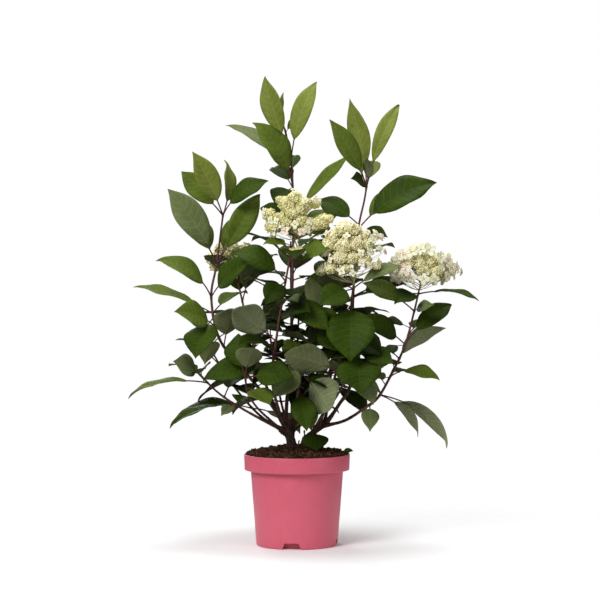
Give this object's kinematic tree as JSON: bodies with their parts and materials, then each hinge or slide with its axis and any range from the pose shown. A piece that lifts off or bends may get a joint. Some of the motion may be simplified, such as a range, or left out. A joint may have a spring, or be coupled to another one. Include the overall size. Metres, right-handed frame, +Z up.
{
  "type": "potted panicle hydrangea",
  "caption": "Bushy flowering shrub with large pointed leaves on reddish stems and loose cream flower heads, growing in a tapered pink nursery pot with a deep rim",
  "frame": {"origin": "the middle of the pot's flat underside", "axes": "+Z up, +X to the viewer's right and +Y away from the viewer, seen from the front of the plant"},
  "size_m": [0.6284, 0.4154, 0.845],
  "materials": {
    "pot_plastic": "smooth moulded pink plastic with a soft sheen",
    "soil": "moist dark compost, crumbly and matte",
    "bark": "brown peeling bark",
    "stem": "reddish-brown young bark",
    "leaf": "mid to dark green leaves with a light sheen, paler beneath",
    "blossom": "cream petals and greenish buds"
  },
  "bodies": {
    "root": {"bough_back_left": "stem", "bough_back_low": "stem", "bough_back_low_left": "stem", "bough_back_low_right": "stem", "bough_back_middle": "stem", "bough_back_right": "stem", "bough_centre_tall": "stem", "bough_front_middle": "stem", "bough_front_right": "stem", "bough_front_upright": "stem", "bough_inner_left": "stem", "bough_inner_middle": "stem", "bough_inner_right": "stem", "bough_left_tall": "stem", "bough_low_left": "stem", "bough_middle_upright": "stem", "bough_right_side": "stem", "bough_right_tall": "stem", "flower_head_back_left": "blossom", "flower_head_back_right": "blossom", "flower_head_front_upright": "blossom", "flower_head_middle_upright": "blossom", "flower_head_right_side": "blossom", "pot": "pot_plastic", "shoot_back_left": "leaf", "shoot_back_low": "leaf", "shoot_back_low_left": "leaf", "shoot_back_low_right": "leaf", "shoot_back_middle": "leaf", "shoot_back_right": "leaf", "shoot_centre_tall": "leaf", "shoot_front_middle": "leaf", "shoot_front_right": "leaf", "shoot_front_upright": "leaf", "shoot_inner_left": "leaf", "shoot_inner_middle": "leaf", "shoot_inner_right": "leaf", "shoot_left_tall": "leaf", "shoot_low_left": "leaf", "shoot_middle_upright": "leaf", "shoot_right_side": "leaf", "shoot_right_tall": "leaf", "soil": "soil", "trunk_back": "bark", "trunk_left": "bark", "trunk_right": "bark"}
  },
  "joints": []
}
